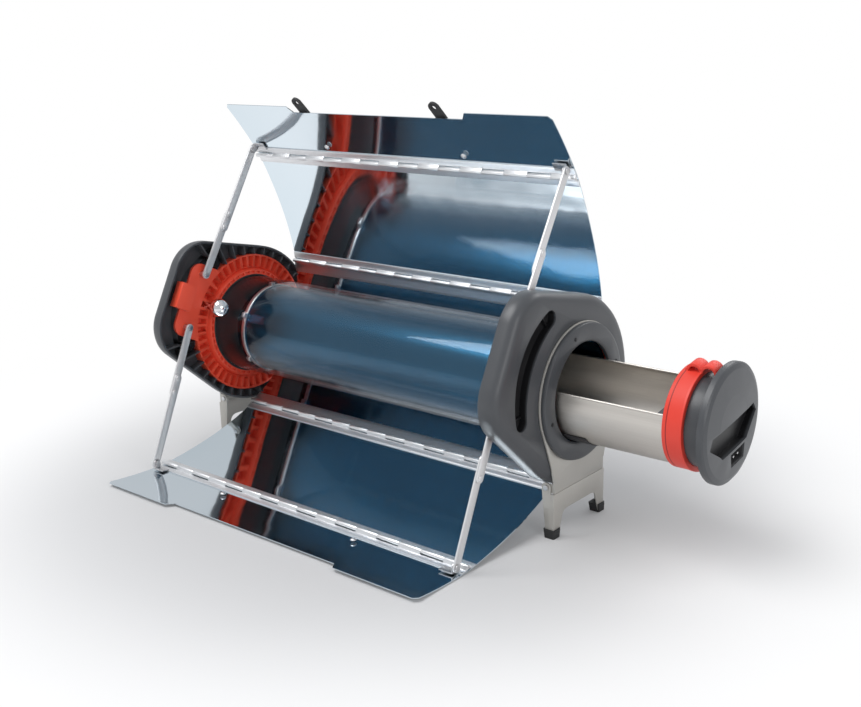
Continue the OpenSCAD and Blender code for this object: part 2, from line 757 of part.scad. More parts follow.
module foot_boots() {
  wall = 2.2;
  r = 3;
  x0 = bracket_x + plate_t - flange_w - wall;
  x1 = bracket_x + plate_t + wall;
  y0 = 34;
  y1 = leg_half + wall;
  color([0.1, 0.1, 0.1]) for (s = [0, 1]) mirror([0, s, 0]) difference() {
    linear_extrude(boot_h) {
      translate([x0 + r, y0]) square([x1 - x0 - 2 * r, y1 - y0]);
      translate([x0, y0 + r]) square([x1 - x0, y1 - y0 - 2 * r]);
      for (x = [x0 + r, x1 - r], y = [y0 + r, y1 - r]) translate([x, y]) circle(r, $fn = fine);
    }
    translate([bracket_x, y0 - cut, axis_h - leg_foot_z])
      cube([plate_t, leg_half - y0 + cut, boot_h]);
    translate([x0 + wall, leg_half - flange_t, axis_h - leg_foot_z])
      cube([flange_w, flange_t, boot_h]);
  }
}

// Cooking tray: a rolled-rim trough with a closed inner end
rim_y = sqrt(tray_r * tray_r - tray_rim_z * tray_rim_z);
module trough_shape(r) {
  difference() {
    circle(r, $fn = fine);
    translate([-2 * r, tray_rim_z]) square([4 * r, 2 * r]);
  }
}
roll_r = 1.2;
module cooking_tray() {
  color([0.72, 0.7, 0.66]) in_tray() {
    bar(tray_x0, tray_x1) {
      difference() {
        trough_shape(tray_r);
        circle(tray_r - tray_t, $fn = fine);
      }
      for (s = [-1, 1]) translate([s * (rim_y - roll_r / 2), tray_rim_z]) circle(roll_r, $fn = fine);
    }
    bar(tray_x0, tray_x0 + tray_t) trough_shape(tray_r - tray_t / 2);
  }
}
module heater_pad() {
  pad_x1 = tray_x1 - 2 * plug_r;
  reach = tray_r * 2;
  half_deg = 55;
  color([0.15, 0.15, 0.15]) in_tray() bar(tray_x0 + pad_t, pad_x1) intersection() {
    difference() {
      circle(tray_r + pad_t, $fn = fine);
      circle(tray_r + seat, $fn = fine);
    }
    polygon([[0, 0], reach * [-sin(half_deg), -cos(half_deg)], reach * [sin(half_deg), -cos(half_deg)]]);
  }
}

// The band that closes the trough, its lip and the two soft loops on its top
module tray_band() {
  loop_r = 9;
  loop_t = 2.8;
  loop_w = 16;
  color([0.85, 0.22, 0.16]) in_tray() {
    ring(tray_x1, band_x1, plug_r + seat, band_r);
    ring(band_x1, band_x1 + lip_l, plug_r + seat, band_r + cut / 2);
    for (i = [0, 1])
      translate([tray_x1 + loop_r + 4 * cut + i * (2 * loop_r - loop_t), loop_w / 2, band_r - cut])
        rotate([90, 0, 0]) linear_extrude(loop_w) difference() {
          circle(loop_r, $fn = fine);
          circle(loop_r - loop_t, $fn = fine);
          translate([-2 * loop_r, -2 * loop_r]) square([4 * loop_r, 2 * loop_r]);
        }
  }
}
module tray_plug() {
  step_l = 10;
  color([0.16, 0.16, 0.17]) in_tray() {
    bar(tray_x1 - step_l, tray_x1 - seat) intersection() {
      circle(tray_r - tray_t - 2 * seat, $fn = fine);
      translate([-tray_r, tray_rim_z - roll_r - 2 * seat - 2 * tray_r]) square(2 * tray_r);
    }
    bar(tray_x1 - cut, lid_x) circle(plug_r, $fn = fine);
  }
}

// Lid: a shallow domed disc, flat underneath, with a finger recess and a socket recess
module lid_disc_shape(r) {
  difference() {
    circle(r, $fn = fine);
    translate([-2 * r, -lid_flat - 2 * r]) square([4 * r, 2 * r]);
  }
}
module grip_shape() {
  r = 5;
  top = 4;
  half_top = 44;
  low_z = -26;
  half_low = 26;
  end = [50, -6];
  polygon([
    [-half_top, top], [half_top, top], end, [half_low + r, low_z + r], [half_low, low_z],
    [-half_low, low_z], [-half_low - r, low_z + r], [-end.x, end.y]
  ]);
}
module socket_shape(d) {
  top_half = 15.5;
  low_half = 13.5;
  half_h = 7.6;
  polygon([
    [socket_y - top_half + d, socket_z + half_h - d], [socket_y + top_half - d, socket_z + half_h - d],
    [socket_y + low_half - d, socket_z - half_h + d], [socket_y - low_half + d, socket_z - half_h + d]
  ]);
}
module lid() {
  edge = 3;
  color([0.2, 0.21, 0.22]) in_tray() difference() {
    intersection() {
      spin() polygon([
        [0, lid_x], [lid_r - edge, lid_x], [lid_r, lid_x + edge / 2], [lid_r, lid_x + lid_t - lid_dome - edge],
        [lid_r - edge / 2, lid_x + lid_t - lid_dome - edge / 2], [lid_r - 2 * edge, lid_x + lid_t - lid_dome],
        [lid_r / 2, lid_x + lid_t - lid_dome / 4], [0, lid_x + lid_t]
      ]);
      bar(lid_x - cut, lid_x + lid_t + cut) lid_disc_shape(lid_r + cut);
    }
    bar(lid_x + lid_t - grip_depth - lid_dome, lid_x + lid_t + cut) grip_shape();
    bar(lid_x + lid_t - grip_depth - lid_dome, lid_x + lid_t + cut) socket_shape(0);
  }
}
module power_socket() {
  wall = 1.6;
  x0 = lid_x + lid_t - grip_depth - lid_dome;
  x1 = lid_x + lid_t - lid_dome;
  color([0.1, 0.1, 0.1]) in_tray() {
    bar(x0, x1) difference() {
      socket_shape(seat);
      socket_shape(seat + wall);
    }
    bar(x0, x0 + wall) difference() {
      socket_shape(seat);
      for (s = [-1, 1]) translate([socket_y + s * pin_pitch / 2, socket_z])
        circle(pin_r + cut, $fn = fine);
    }
  }
}
module power_pins() {
  x0 = lid_x + lid_t - grip_depth - lid_dome;
  color("silver") in_tray() for (s = [-1, 1])
    translate([x0, socket_y + s * pin_pitch / 2, socket_z]) rotate([0, 90, 0])
      cylinder(r = pin_r, h = pin_l, $fn = fine);
}

// Latches: an anchor with a pin on the upper flap, a soft strap, and a keeper on the lower flap
module latch_anchors() {
  ear_t = 2;
  eye_half = 8;
  foot = flap_h(anchor_s) - sheet_t - seat - 3 * seat;
  color("silver") on_flap() for (s = [-1, 1]) translate([s * latch_x, 0, 0]) {
    for (side = [-1, 1]) translate([side * (eye_half + gap + ear_t / 2) - ear_t / 2, anchor_s, 0])
      bar(0, ear_t) {
        translate([0, latch_h]) circle(latch_eye_r, $fn = fine);
        translate([-latch_eye_r, latch_h]) square([2 * latch_eye_r, foot - latch_h]);
      }
    translate([-eye_half - gap - ear_t, anchor_s, latch_h]) rotate([0, 90, 0])
      cylinder(r = latch_pin_r, h = 2 * (eye_half + gap + ear_t), $fn = fine);
    translate([-eye_half - gap - ear_t, anchor_s - latch_eye_r - ear_t * 2, foot - seat])
      cube([2 * (eye_half + gap + ear_t), ear_t * 3, seat]);
  }
}
module latch_strap(s) {
  eye_half = 7;
  tip_r = 4;
  color([0.1, 0.1, 0.1]) on_flap() translate([s * latch_x, anchor_s, latch_h]) difference() {
    union() {
      bar(-eye_half, eye_half) circle(latch_eye_r, $fn = fine);
      rotate([0, 0, latch_lean]) translate([0, 0, -strap_t / 2]) linear_extrude(strap_t) {
        translate([-strap_w / 2, latch_eye_r / 2]) square([strap_w, latch_l - strap_w / 2]);
        translate([0, latch_l - strap_w / 2]) circle(strap_w / 2, $fn = fine);
      }
    }
    bar(-strap_w, strap_w) circle(latch_pin_r + rod_play, $fn = fine);
    rotate([0, 0, latch_lean]) translate([0, latch_l - strap_w / 2, -strap_t]) {
      cylinder(r = tip_r - cut, h = 2 * strap_t, $fn = fine);
    }
  }
}
module latch_keepers() {
  base_r = 6;
  stem_r = 2.2;
  knob_r = 4;
  color("silver") lower() on_flap() for (s = [-1, 1])
    translate([s * latch_x, keeper_s, flap_h(keeper_s) - sheet_t - seat - 4 * seat]) mirror([0, 0, 1]) {
      cylinder(r = base_r, h = head_t, $fn = fine);
      cylinder(r = stem_r, h = head_t + strap_t + 2 * gap, $fn = fine);
      translate([0, 0, head_t + strap_t + 2 * gap]) cylinder(r = knob_r, h = head_t, $fn = fine);
    }
}

leg_bracket();  // leg_bracket_right
left() leg_bracket();  // leg_bracket_left
leg_hinge_pins();  // leg_hinge_pins_right
left() leg_hinge_pins();  // leg_hinge_pins_left
leg_frame();  // leg_frame_right
left() leg_frame();  // leg_frame_left
foot_boots();  // foot_boots_right
left() foot_boots();  // foot_boots_left
tilted() end_cap();  // end_cap_right
tilted() left() end_cap();  // end_cap_left
tilted() fin_liner();  // fin_liner_right
tilted() left() fin_liner();  // fin_liner_left
tilted() bezel(mouth_r);  // bezel_right
tilted() left() bezel(0);  // bezel_left
tilted() bezel_screws();  // bezel_screws_right
tilted() left() bezel_screws();  // bezel_screws_left
tilted() outer_glass();
tilted() absorber_tube();
tilted() tube_collar();  // tube_collar_right
tilted() left() tube_collar();  // tube_collar_left
tilted() tube_clip();
tilted() rear_reflector();
tilted() rail();  // rail_upper
tilted() lower() rail();  // rail_lower
tilted() root_rod();  // root_rod_upper
tilted() lower() root_rod();  // root_rod_lower
tilted() stay_pivots();  // stay_pivots_right
tilted() left() stay_pivots();  // stay_pivots_left
tilted() ball_stud();
tilted() panel();  // panel_upper
tilted() lower() panel();  // panel_lower
tilted() root_leaf();  // root_leaf_upper
tilted() lower() root_leaf();  // root_leaf_lower
tilted() edge_leaf();  // edge_leaf_upper
tilted() lower() edge_leaf();  // edge_leaf_lower
tilted() edge_rod();  // edge_rod_upper
tilted() lower() edge_rod();  // edge_rod_lower
tilted() flap();  // flap_upper
tilted() lower() flap();  // flap_lower
tilted() flap_leaf();  // flap_leaf_upper
tilted() lower() flap_leaf();  // flap_leaf_lower
tilted() stay_brackets();  // stay_brackets_upper
tilted() lower() stay_brackets();  // stay_brackets_lower
tilted() latch_anchors();
tilted() latch_keepers();
tilted() stay_inner();  // stay_inner_upper
tilted() lower() stay_inner();  // stay_inner_lower
tilted() stay_outer();  // stay_outer_upper
tilted() lower() stay_outer();  // stay_outer_lower
tilted() latch_strap(1);  // latch_strap_right
tilted() latch_strap(-1);  // latch_strap_left
cooking_tray();
heater_pad();
tray_band();
tray_plug();
lid();
power_socket();
power_pins();
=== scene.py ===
import math

import bpy
from mathutils import Matrix, Vector


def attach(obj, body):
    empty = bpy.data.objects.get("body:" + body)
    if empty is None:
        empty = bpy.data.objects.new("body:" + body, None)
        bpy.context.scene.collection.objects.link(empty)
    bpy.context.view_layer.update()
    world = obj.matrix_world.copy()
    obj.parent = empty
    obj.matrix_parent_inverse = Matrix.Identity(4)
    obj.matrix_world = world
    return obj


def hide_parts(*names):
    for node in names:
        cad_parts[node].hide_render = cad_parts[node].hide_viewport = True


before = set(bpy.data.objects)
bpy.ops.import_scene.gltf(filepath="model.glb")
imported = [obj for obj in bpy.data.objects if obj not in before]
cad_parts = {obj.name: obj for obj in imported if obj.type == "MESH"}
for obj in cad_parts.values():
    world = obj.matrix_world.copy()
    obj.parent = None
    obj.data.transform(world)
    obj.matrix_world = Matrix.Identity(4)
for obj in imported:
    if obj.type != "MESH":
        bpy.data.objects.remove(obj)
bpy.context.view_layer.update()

# Camera. A long lens on a stand at the cooker's front right corner, a little above the lid,
# with the same shift as the photograph's framing.
photo_w = 861
lens_px = 1107.4
shift_px = (56.55, 11.78)
lens_place = Vector((0.87067, -0.93895, 0.50360))
lens_right = Vector((0.79240738, 0.60991886, -0.00946235))
lens_down = Vector((0.16284927, -0.2264723, -0.96030746))
lens_ahead = Vector((-0.58785259, 0.75941378, -0.27878316))
camera_data = bpy.data.cameras.new("Camera")
camera = bpy.data.objects.new("Camera", camera_data)
bpy.context.scene.collection.objects.link(camera)
camera_data.sensor_width = 36
camera_data.lens = lens_px * camera_data.sensor_width / photo_w
camera_data.shift_x = -shift_px[0] / photo_w
camera_data.shift_y = shift_px[1] / photo_w
camera_data.clip_start = 0.05
camera_data.clip_end = 60
camera.matrix_world = Matrix.Translation(lens_place) @ Matrix(
    (lens_right, -lens_down, -lens_ahead)).transposed().to_4x4()
bpy.context.scene.camera = camera
bpy.context.scene.view_settings.view_transform = "Standard"


# Floor and studio. A pale floor with a painted shadow, a grey base colour that is darker under
# the cooker and fades to white round it, soft grey surroundings with a white background, a wide
# lamp over the open side, a strip at the back and a weak side fill.
class Wire:
    """A shader value: operators on it add Math nodes, and node() adds any other node."""

    def __init__(self, tree, socket=None):
        self.tree = tree
        self.socket = socket

    def node(self, kind, settings=None, inputs=None, out=0):
        made = self.tree.nodes.new(kind)
        for key, value in (settings or {}).items():
            setattr(made, key, value)
        for key, value in (inputs or {}).items():
            self.feed(made, key, value)
        return Wire(self.tree, made.outputs[out])

    def feed(self, made, key, value):
        """Links a Wire to an input of a node, or writes a plain value there."""
        socket = made.inputs[key]
        if isinstance(value, Wire):
            self.tree.links.new(value.socket, socket)
        elif isinstance(value, tuple) and len(value) == 3 and socket.type == "RGBA":
            socket.default_value = (*value, 1)
        else:
            socket.default_value = value

    def maths(self, operation, a, b=0.0):
        return self.node("ShaderNodeMath", {"operation": operation}, {0: a, 1: b})

    def mix(self, low, high, share):
        """A colour between two; the Mix node's colours are its sockets 6 and 7, and output 2."""
        return self.node("ShaderNodeMix", {"data_type": "RGBA"}, {0: share, 6: low, 7: high}, 2)

    def rise(self, low, high):
        """0 below the low value and 1 above the high one, with a smooth step between them."""
        return self.node("ShaderNodeMapRange", {"interpolation_type": "SMOOTHSTEP"},
                         {0: self, 1: low, 2: high})

    def axis(self, name):
        return self.node("ShaderNodeSeparateXYZ", {}, {0: self}, name)

    def __add__(self, other):
        return self.maths("ADD", self, other)

    def __radd__(self, other):
        return self.maths("ADD", other, self)

    def __sub__(self, other):
        return self.maths("SUBTRACT", self, other)

    def __rsub__(self, other):
        return self.maths("SUBTRACT", other, self)

    def __mul__(self, other):
        return self.maths("MULTIPLY", self, other)

    def __rmul__(self, other):
        return self.maths("MULTIPLY", other, self)

    def __truediv__(self, other):
        return self.maths("DIVIDE", self, other)

    def __pow__(self, other):
        return self.maths("POWER", self, other)


class Finish:
    """A material with one Principled shader, its constants set and its own coordinates."""

    def __init__(self, name, **constants):
        self.material = bpy.data.materials.new(name)
        self.material.use_nodes = True
        tree = self.material.node_tree
        self.wire = Wire(tree)
        self.shader = tree.nodes["Principled BSDF"]
        for key, value in constants.items():
            self.wire.feed(self.shader, key.replace("_", " "), value)
        self.place = self.wire.node("ShaderNodeTexCoord", out="Object")

    def vary(self, socket, value):
        self.wire.feed(self.shader, socket, value)

    def stretched(self, scale):
        return self.wire.node("ShaderNodeMapping", {}, {"Vector": self.place, "Scale": scale})

    def noise(self, scale, detail=3.0, at=None):
        return self.wire.node("ShaderNodeTexNoise", {},
                              {"Vector": at or self.place, "Scale": scale, "Detail": detail})

    def bump(self, height, distance, strength=1.0):
        self.vary("Normal", self.wire.node("ShaderNodeBump", {}, {
            "Height": height, "Distance": distance, "Strength": strength}))


def lamp(name, place, target, size, watts):
    """A rectangular area lamp that points from its place at a target."""
    data = bpy.data.lights.new(name, "AREA")
    data.shape = "RECTANGLE"
    data.size, data.size_y = size
    data.energy = watts
    made = bpy.data.objects.new(name, data)
    bpy.context.scene.collection.objects.link(made)
    made.location = place
    made.rotation_mode = "QUATERNION"
    made.rotation_quaternion = (Vector(target) - Vector(place)).to_track_quat("-Z", "Y")


white, pale, painted_shadow_grey = (1.0, 1.0, 1.0), (0.9, 0.9, 0.9), (0.55, 0.55, 0.555)
pale_from, pale_full = 0.25, 0.65
glow_from, glow_full, glow_least = 0.36, 0.8, 0.08
floor_mirrored, world_mirrored = 0.5, 0.3
surroundings = (0.5, 0.51, 0.53)
bpy.ops.object.select_all(action="DESELECT")
bpy.ops.mesh.primitive_plane_add(size=14)
floor = bpy.context.active_object
floor.name = "floor"
floor_skin = Finish("Pale floor", Base_Color=pale, Roughness=0.75)
floor_wire = floor_skin.wire
floor_reach = floor_wire.node("ShaderNodeVectorMath", {"operation": "LENGTH"},
                              {0: floor_skin.place}, "Value")
# Painted shadow: the floor's base colour is grey under the cooker and turns pale further out.
floor_skin.vary("Base Color", floor_wire.mix(painted_shadow_grey, pale, floor_reach.rise(pale_from, pale_full)))
floor_glow = floor_wire.node("ShaderNodeEmission", {}, {"Color": white, "Strength": 1.0})
floor_share = glow_least + (1 - glow_least) * floor_reach.rise(glow_from, glow_full)
floor_seen = (floor_wire.node("ShaderNodeLightPath", out="Is Camera Ray")
              + floor_mirrored * floor_wire.node("ShaderNodeLightPath", out="Is Glossy Ray"))
floor_lit = Wire(floor_wire.tree, floor_skin.shader.outputs[0])
floor_mixed = floor_wire.node("ShaderNodeMixShader", {},
                              {0: floor_seen * floor_share, 1: floor_lit, 2: floor_glow})
floor_wire.feed(floor_wire.tree.nodes["Material Output"], "Surface", floor_mixed)
floor.data.materials.append(floor_skin.material)

world = bpy.data.worlds.new("Studio")
bpy.context.scene.world = world
world.use_nodes = True
studio = Wire(world.node_tree)
world_seen = (studio.node("ShaderNodeLightPath", out="Is Camera Ray")
              + world_mirrored * studio.node("ShaderNodeLightPath", out="Is Glossy Ray"))
studio.feed(world.node_tree.nodes["Background"], "Color", studio.mix(surroundings, white, world_seen))
lamp("Overhead box", (-0.5, -0.9, 2.0), (0, 0, 0.15), (1.6, 1.2), 34)
lamp("Back strip", (0.3, 1.6, 1.3), (0, 0, 0.2), (1.8, 0.5), 9)
lamp("Side fill", (2.2, -0.6, 0.9), (0.1, 0, 0.2), (0.9, 1.2), 9)


# Moulded end caps, bezels, lid and plug. Glass-filled nylon with a fine spark-eroded grain,
# moulded in anthracite; the bezels are screwed on the caps' hubs and the lid closes the tray.
# The handle pocket in each cap and the finger recess in the lid are painted near-black, as painted shade.
def merged_copy(name, node, body, skin, edge=0.0, flat_deg=40, reshape=None):
    """A copy of a CAD node with its doubles merged, its edges rounded and its faces smooth."""
    bpy.ops.object.select_all(action="DESELECT")
    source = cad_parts[node]
    piece = bpy.data.objects.new(name, source.data.copy())
    bpy.context.scene.collection.objects.link(piece)
    piece.data.materials.clear()
    piece.data.materials.append(skin.material)
    piece.select_set(True)
    bpy.context.view_layer.objects.active = piece
    bpy.ops.object.mode_set(mode="EDIT")
    bpy.ops.mesh.select_all(action="SELECT")
    bpy.ops.mesh.customdata_custom_splitnormals_clear()
    bpy.ops.mesh.remove_doubles(threshold=0.00002)
    bpy.ops.mesh.dissolve_limited(angle_limit=math.radians(0.4), delimit={"NORMAL"})
    bpy.ops.object.mode_set(mode="OBJECT")
    if reshape:
        reshape(piece)
    if edge:
        bevel = piece.modifiers.new("Edge", "BEVEL")
        bevel.width = edge
        bevel.segments = 2
        bevel.limit_method = "ANGLE"
        bevel.angle_limit = math.radians(flat_deg)
        bevel.use_clamp_overlap = True
        bpy.ops.object.modifier_apply(modifier=bevel.name)
    bpy.ops.object.shade_smooth_by_angle(angle=math.radians(flat_deg))
    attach(piece, body)
    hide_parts(node)
    return piece


tube_axis = Vector((0, 0, 0.152))
aim = math.radians(27)
pocket_depth, pocket_turn = (0.2628, 0.2655), (0.765, 0.785)
pocket_inner, pocket_outer = (0.0926, 0.0932), (0.1165, 0.1172)
grip_floor, grip_face, grip_edge = (0.4326, 0.4332), (0.4385, 0.4420), (0.0508, 0.0514)
cap_skin = Finish("Anthracite moulding", Base_Color=(0.062, 0.066, 0.072), Roughness=0.42,
                  Specular_IOR_Level=0.45)
cap_place = cap_skin.wire.node("ShaderNodeVectorMath", {"operation": "SUBTRACT"},
                               {0: cap_skin.place, 1: tuple(tube_axis)})
cap_along, cap_y, cap_z = (cap_place.axis(name) for name in "XYZ")
cap_out = (cap_y ** 2.0 + cap_z ** 2.0) ** 0.5
cap_facing = (math.sin(aim) * cap_z - math.cos(aim) * cap_y) / cap_out
# Painted shade: the crescent pocket and the lid's finger recess are painted near-black in the base colour.
cap_sunk = 1.0 - cap_along.maths("ABSOLUTE", cap_along).rise(*pocket_depth)
pocket_ring = cap_out.rise(*pocket_inner) * (1.0 - cap_out.rise(*pocket_outer))
pocket_shade = cap_sunk * cap_facing.rise(*pocket_turn) * pocket_ring
grip_shade = cap_along.rise(*grip_floor) * (1.0 - cap_along.rise(*grip_face))
cap_shade = pocket_shade + grip_shade * (1.0 - cap_out.rise(*grip_edge))
cap_plain = cap_skin.wire.mix((0.054, 0.058, 0.064), (0.074, 0.078, 0.085), cap_skin.noise(14.0, 4.0))
cap_skin.vary("Base Color", cap_skin.wire.mix(cap_plain, (0.006, 0.006, 0.007), cap_shade))
cap_skin.vary("Roughness", 0.3 + 0.1 * cap_skin.noise(60.0, 3.0))
cap_skin.bump(cap_skin.noise(2200.0, 2.0), 0.00004, 0.5)
pocket_mid, pocket_wall_r, pocket_wall_x = 0.1025, 0.1145, 0.2535
pocket_half_deg, pocket_end_deg, pocket_growth = 37, 38.5, 0.7
grip_r, grip_floor_x, grip_depth, grip_long = 0.053, 0.4329, 0.003, 0.0125


def widen_pocket(piece):
    """Moves the crescent pocket's outer wall out, to a hand's width in its middle."""
    for point in piece.data.vertices:
        away = point.co - tube_axis
        front = math.sin(aim) * away.z - math.cos(aim) * away.y
        up = math.cos(aim) * away.z + math.sin(aim) * away.y
        radius, turn = math.hypot(front, up), abs(math.degrees(math.atan2(up, front)))
        in_wall = abs(away.x) > pocket_wall_x and pocket_mid < radius < pocket_wall_r
        if in_wall and turn < pocket_end_deg:
            share = math.cos(math.radians(90 * min(turn / pocket_half_deg, 1)))
            grown = pocket_mid + (radius - pocket_mid) * (1 + pocket_growth * share)
            point.co.y = tube_axis.y + away.y * grown / radius
            point.co.z = tube_axis.z + away.z * grown / radius


def round_grip(piece):
    """Rounds the corners of the lid's finger recess, between its floor and the lid's face."""
    for edge in piece.data.edges:
        start, end = (piece.data.vertices[i].co for i in edge.vertices)
        inside = all((spot - tube_axis).yz.length < grip_r and spot.x > grip_floor_x
                     for spot in (start, end))
        edge.select = inside and abs(start.x - end.x) > grip_depth and (start - end).length < grip_long
    bpy.ops.object.mode_set(mode="EDIT")
    bpy.ops.mesh.select_mode(type="EDGE")
    bpy.ops.mesh.bevel(offset=0.0035, segments=5, affect="EDGES", clamp_overlap=True)
    bpy.ops.object.mode_set(mode="OBJECT")


for side in ("right", "left"):
    merged_copy(f"cap_shell_{side}", f"end_cap_{side}", "chassis", cap_skin, 0.0004, 30,
                widen_pocket)
    merged_copy(f"bezel_ring_{side}", f"bezel_{side}", "chassis", cap_skin, 0.0003)
merged_copy("lid_shell", "lid", "tray", cap_skin, 0.0006, reshape=round_grip)
merged_copy("plug_body", "tray_plug", "tray", cap_skin, 0.0004)


# Ribs inside the caps. Moulded with the shell and rounded along their free edges; they stand
# between the liner and the cap's side and stiffen the rim.
disc_r, corner_r, corner_at = 0.102, 0.045, Vector((0.099, 0.032))
rib_deep, rib_thick, rib_round, rib_x = 0.0115, 0.0021, 0.0005, 0.2538
rib_foot, rib_below_side, lobe_half = 0.0907, 0.0014, 0.0476
rib_first, rib_last, rib_every, lobe_deg = 30, 330, 10, 50


def cap_side(angle):
    """Distance of the cap's outline from the tube's axis, at an angle from the front."""
    ray = Vector((math.cos(angle), abs(math.sin(angle))))
    steps = 40
    reach = [0.0]
    for step in range(steps + 1):
        centre = corner_at * step / steps
        round_r = disc_r + (corner_r - disc_r) * step / steps
        along = ray.dot(centre)
        reach.append(along + math.sqrt(max(along ** 2 - centre.length_squared + round_r ** 2, 0)))
    return max(reach)


for sign, side in ((1, "right"), (-1, "left")):
    for turn in range(rib_first, rib_last + 1, rib_every):
        angle = math.radians(turn)
        foot = rib_foot
        if not lobe_deg < turn < 360 - lobe_deg:
            foot = max(rib_foot, lobe_half / abs(math.sin(angle)))
        top = cap_side(angle) - rib_below_side
        bpy.ops.object.select_all(action="DESELECT")
        bpy.ops.mesh.primitive_cube_add(size=1)
        rib = bpy.context.active_object
        rib.name = f"cap_rib_{side}_{turn}"
        bpy.ops.object.mode_set(mode="EDIT")
        bpy.ops.transform.resize(value=(rib_deep, top - foot, rib_thick))
        bpy.ops.mesh.bevel(offset=rib_round, segments=2, affect="EDGES")
        bpy.ops.transform.translate(value=(sign * rib_x, -(top + foot) / 2, 0))
        bpy.ops.object.mode_set(mode="OBJECT")
        rib.data.transform(Matrix.Translation(tube_axis) @ Matrix.Rotation(-aim - angle, 4, "X"))
        rib.data.materials.append(cap_skin.material)
        bpy.ops.object.shade_smooth_by_angle(angle=math.radians(30))
        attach(rib, "chassis")


# Finned liners. Heat-proof plastic moulded in orange-red, with radial pockets round the glass
# and a front lobe that carries the stays' pivots; they are pressed into the caps.
liner_skin = Finish("Orange-red moulding", Base_Color=(0.86, 0.09, 0.045), Roughness=0.4)
liner_skin.vary("Base Color", liner_skin.wire.mix((0.82, 0.08, 0.04), (0.9, 0.1, 0.05),
                                                  liner_skin.noise(25.0, 3.0)))
liner_skin.vary("Roughness", 0.34 + 0.16 * liner_skin.noise(90.0, 3.0))
liner_skin.bump(liner_skin.noise(1500.0, 2.0), 0.00003, 0.4)
fin_ring, fin_from_x, fin_to_x = (0.0726, 0.0902), 0.2565, 0.2512
floor_ring, floor_from_x, floor_to_x = (0.0732, 0.0886), 0.2610, 0.2622
same_place = 0.0002


def deepen_fins(piece):
    """Raises the fins' free edges towards the rim and sinks the pockets' floors between them."""
    for point in piece.data.vertices:
        radius, depth = (point.co - tube_axis).yz.length, abs(point.co.x)
        if fin_ring[0] < radius < fin_ring[1] and abs(depth - fin_from_x) < same_place:
            point.co.x = math.copysign(fin_to_x, point.co.x)
        elif floor_ring[0] < radius < floor_ring[1] and abs(depth - floor_from_x) < same_place:
            point.co.x = math.copysign(floor_to_x, point.co.x)


for side in ("right", "left"):
    merged_copy(f"liner_{side}", f"fin_liner_{side}", "chassis", liner_skin, 0.0003, 30,
                deepen_fins)


# Glass tube. Two borosilicate tubes fused at the mouth: the outer one is clear, the inner one
# carries a sputtered blue-black coating; rubber collars hold the outer one in the liners.
glass_skin = Finish("Clear glass", Base_Color=(0.95, 0.97, 1.0), Roughness=0.02, Metallic=1.0)
glass_edge = glass_skin.wire.node("ShaderNodeLayerWeight", {}, {"Blend": 0.5}, "Facing")
glass_skin.vary("Alpha", 0.02 + 0.7 * glass_edge ** 5.0)
glass_skin.material.surface_render_method = "BLENDED"
merged_copy("glass_outer", "outer_glass", "chassis", glass_skin)
coat_skin = Finish("Selective coating", Base_Color=(0.012, 0.075, 0.14), Roughness=0.27,
                   Metallic=1.0)
coat_skin.vary("Base Color", coat_skin.wire.mix((0.008, 0.062, 0.12), (0.02, 0.1, 0.18),
                                                coat_skin.noise(6.0, 3.0)))
merged_copy("absorber", "absorber_tube", "chassis", coat_skin)
rubber_skin = Finish("Black rubber", Base_Color=(0.02, 0.02, 0.021), Roughness=0.62)
rubber_skin.vary("Roughness", 0.55 + 0.2 * rubber_skin.noise(120.0, 3.0))
rubber_skin.bump(rubber_skin.noise(1200.0, 2.0), 0.00005, 0.5)
for side in ("right", "left"):
    merged_copy(f"collar_{side}", f"tube_collar_{side}", "chassis", rubber_skin, 0.0004)


# Mirrors. Thin aluminium sheet, polished and anodised to a cool silver, bent to the parabola;
# the wings and flaps are hinged, the rear one sits in the rails.
mirror_skin = Finish("Polished mirror sheet", Base_Color=(0.68, 0.76, 0.82), Roughness=0.045,
                     Metallic=1.0)
mirror_lines = mirror_skin.noise(1.0, 4.0, mirror_skin.stretched((4.0, 160.0, 160.0)))
mirror_skin.vary("Roughness", 0.03 + 0.05 * mirror_lines)
mirror_skin.vary("Base Color", mirror_skin.wire.mix((0.62, 0.72, 0.78), (0.74, 0.8, 0.85),
                                                    mirror_skin.noise(5.0, 3.0)))
mirror_skin.bump(mirror_skin.noise(9.0, 2.0), 0.0016, 0.25)
for node, body in (("rear_reflector", "chassis"), ("panel_upper", "wing_upper"),
                   ("panel_lower", "wing_lower"), ("flap_upper", "flap_up"), ("flap_lower", "flap_low")):
    merged_copy("mirror_" + node, node, body, mirror_skin, 0.0, 25)


# Rails, hinge leaves and stays. The rails and leaves are extruded and pressed aluminium,
# brushed along their length and riveted to the mirrors; the stays are anodised to a satin.
rail_skin = Finish("Brushed aluminium", Base_Color=(0.80, 0.81, 0.83), Roughness=0.26, Metallic=1.0)
rail_lines = rail_skin.noise(1.0, 3.0, rail_skin.stretched((12.0, 2600.0, 2600.0)))
rail_skin.vary("Roughness", 0.32 + 0.2 * rail_lines)
rail_skin.vary("Base Color", rail_skin.wire.mix((0.72, 0.73, 0.75), (0.88, 0.89, 0.9), rail_lines))
rail_skin.bump(rail_lines, 0.00004, 0.35)
link_skin = Finish("Satin anodised aluminium", Base_Color=(0.74, 0.74, 0.745), Roughness=0.4,
                   Metallic=0.55)
link_skin.vary("Roughness", 0.34 + 0.14 * link_skin.noise(260.0, 3.0))
for which, short in (("upper", "up"), ("lower", "low")):
    for name, node, body in (
            (f"rail_{which}_bar", f"rail_{which}", "chassis"),
            (f"root_leaf_{which}_strip", f"root_leaf_{which}", f"wing_{which}"),
            (f"edge_leaf_{which}_strip", f"edge_leaf_{which}", f"wing_{which}"),
            (f"flap_leaf_{which}_strip", f"flap_leaf_{which}", f"flap_{short}")):
        merged_copy(name, node, body, rail_skin, 0.0002)
    for reach, link in (("inner", "in"), ("outer", "out")):
        merged_copy(f"{reach}_links_{which}", f"stay_{reach}_{which}", f"stay_{link}_{short}",
                    link_skin, 0.0003)


